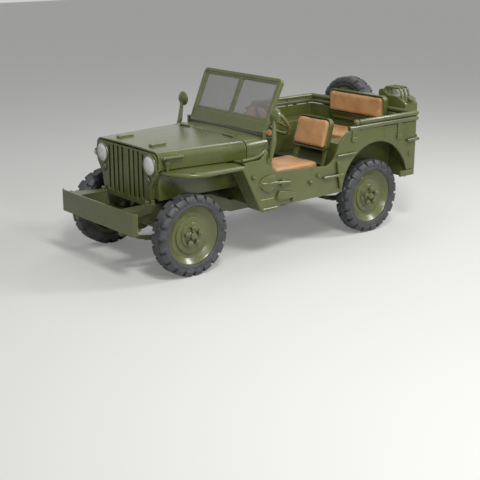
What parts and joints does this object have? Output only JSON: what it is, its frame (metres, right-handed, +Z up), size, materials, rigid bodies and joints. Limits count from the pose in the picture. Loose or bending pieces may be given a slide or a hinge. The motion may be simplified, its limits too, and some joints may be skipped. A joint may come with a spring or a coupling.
{
  "type": "open army 4x4 car",
  "caption": "Open light army 4x4 car with slotted grille, flat fenders, folding windshield, opening hood, steered wheels, tan seats, spare wheel and fuel can on the back.",
  "frame": {"origin": "on the ground below the middle of the car's length and width", "axes": "+X towards the front bumper, +Y to the driver's side (left), +Z up"},
  "size_m": [3.259, 1.47, 1.4753],
  "materials": {
    "body_green": "satin",
    "tool_green": "satin",
    "dark_steel": "satin",
    "tyre": "matte",
    "seat_cloth": "matte",
    "window_glass": "gloss",
    "lamp_glass": "gloss"
  },
  "bodies": {
    "chassis": {"body_handles": "body_green", "cowl": "body_green", "dashboard": "body_green", "driver_back_pad": "seat_cloth", "driver_seat_frame": "body_green", "driver_seat_pads": "seat_cloth", "engine": "dark_steel", "exhaust": "dark_steel", "fender_left": "body_green", "fender_right": "body_green", "floor": "body_green", "frame_rails": "dark_steel", "front_axle": "dark_steel", "front_bumper": "body_green", "fuel_can": "body_green", "gear_levers": "dark_steel", "gearbox": "dark_steel", "grille": "body_green", "lamps": "lamp_glass", "leaf_springs": "dark_steel", "mirror_left": "body_green", "mirror_right": "body_green", "prop_shafts": "dark_steel", "radiator": "dark_steel", "rear_axle": "dark_steel", "rear_back_pad": "seat_cloth", "rear_bumperettes": "body_green", "rear_panel": "body_green", "rear_seat_frame": "body_green", "rear_seat_pad": "seat_cloth", "side_panel_left": "body_green", "side_panel_right": "body_green", "spare_rim": "body_green", "spare_tyre": "tyre", "steering_column": "dark_steel", "tools": "tool_green", "top_bows": "body_green", "tow_hitch": "dark_steel", "wheel_houses": "body_green"},
    "knuckle_left": {"knuckle_left": "dark_steel"},
    "knuckle_right": {"knuckle_right": "dark_steel"},
    "tie_rod": {"tie_rod": "dark_steel"},
    "wheel_front_left": {"rim_front_left": "body_green", "tyre_front_left": "tyre"},
    "wheel_front_right": {"rim_front_right": "body_green", "tyre_front_right": "tyre"},
    "wheel_rear_left": {"rim_rear_left": "body_green", "tyre_rear_left": "tyre"},
    "wheel_rear_right": {"rim_rear_right": "body_green", "tyre_rear_right": "tyre"},
    "hood": {"hood": "body_green"},
    "windshield": {"windshield_frame": "body_green", "windshield_glass": "window_glass"},
    "steering_wheel": {"steering_wheel": "dark_steel"},
    "passenger_seat": {"passenger_seat_frame": "body_green", "passenger_seat_pads": "seat_cloth", "passenger_back_pad": "seat_cloth"}
  },
  "joints": [
    {"name": "steer_left", "type": "hinge", "parent": "chassis", "child": "knuckle_left", "pos_m": [1.132, 0.515, 0.335], "axis": [0, 0, 1], "range_deg": [-26, 26]},
    {"name": "steer_right", "type": "hinge", "parent": "chassis", "child": "knuckle_right", "pos_m": [1.132, -0.515, 0.335], "axis": [0, 0, 1], "range_deg": [-26, 26]},
    {"name": "tie_rod_pivot", "type": "hinge", "parent": "knuckle_left", "child": "tie_rod", "pos_m": [1.297, 0.515, 0.38], "axis": [0, 0, 1], "range_deg": [-26, 26]},
    {"name": "steering_wheel_turn", "type": "hinge", "parent": "chassis", "child": "steering_wheel", "pos_m": [0.012, 0.32, 1.1], "axis": [-0.766, 0, 0.6428], "range_deg": [-345, 345]},
    {"name": "wheel_front_left_spin", "type": "hinge", "parent": "knuckle_left", "child": "wheel_front_left", "pos_m": [1.132, 0.6, 0.335], "axis": [0, 1, 0], "continuous": true},
    {"name": "wheel_front_right_spin", "type": "hinge", "parent": "knuckle_right", "child": "wheel_front_right", "pos_m": [1.132, -0.6, 0.335], "axis": [0, 1, 0], "continuous": true},
    {"name": "wheel_rear_left_spin", "type": "hinge", "parent": "chassis", "child": "wheel_rear_left", "pos_m": [-0.9, 0.6, 0.335], "axis": [0, 1, 0], "continuous": true},
    {"name": "wheel_rear_right_spin", "type": "hinge", "parent": "chassis", "child": "wheel_rear_right", "pos_m": [-0.9, -0.6, 0.335], "axis": [0, 1, 0], "continuous": true},
    {"name": "hood_lift", "type": "hinge", "parent": "chassis", "child": "hood", "pos_m": [0.492, 0, 1.019], "axis": [0, -1, 0], "range_deg": [0, 108]},
    {"name": "windshield_fold", "type": "hinge", "parent": "chassis", "child": "windshield", "pos_m": [0.282, 0, 1.048], "axis": [0, -1, 0], "range_deg": [-114, 0]},
    {"name": "passenger_seat_tip", "type": "hinge", "parent": "chassis", "child": "passenger_seat", "pos_m": [0.152, -0.35, 0.51], "axis": [0, 1, 0], "range_deg": [0, 35]}
  ],
  "couplings": [
    {"joint": "steer_right", "follows": "steer_left", "ratio": 1},
    {"joint": "tie_rod_pivot", "follows": "steer_left", "ratio": -1},
    {"joint": "steering_wheel_turn", "follows": "steer_left", "ratio": 13}
  ]
}
